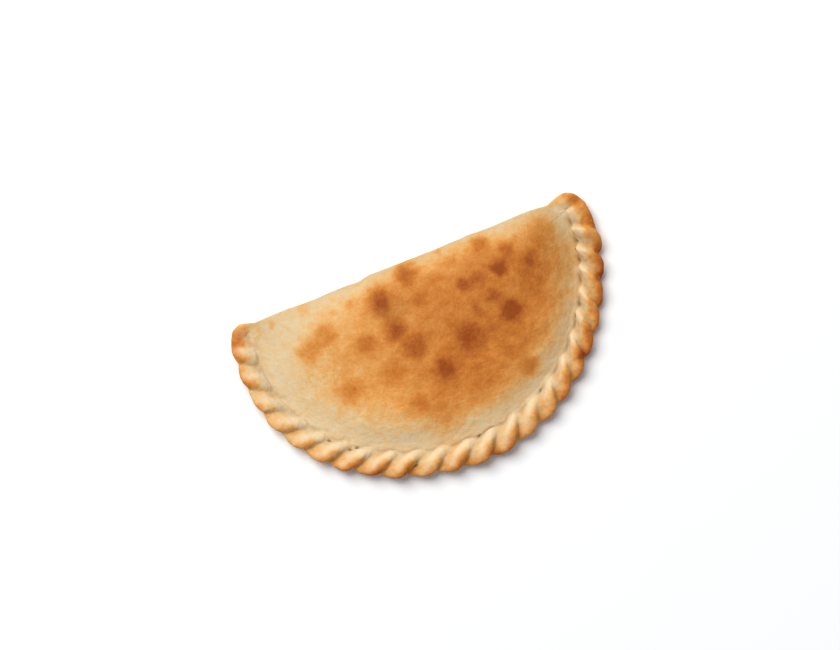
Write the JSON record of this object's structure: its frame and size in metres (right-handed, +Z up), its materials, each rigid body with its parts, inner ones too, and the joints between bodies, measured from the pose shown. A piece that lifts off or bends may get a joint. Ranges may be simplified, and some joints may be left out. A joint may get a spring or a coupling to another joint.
{
  "type": "calzone",
  "caption": "Baked calzone: a half-moon pillow of folded dough with a domed browned top, a rounded fold along its back and a rope-crimped edge, lying on a flat underside.",
  "frame": {"origin": "on the underside, at the middle of the length and width", "axes": "+X along the fold, +Y towards the fold, -Y towards the crimped edge, +Z up"},
  "size_m": [0.251, 0.1428, 0.042],
  "materials": {
    "crust": "baked wheat dough, matt, cream to golden brown with darker spots and a dusting of flour"
  },
  "bodies": {
    "root": {"calzone": "crust"}
  },
  "joints": []
}
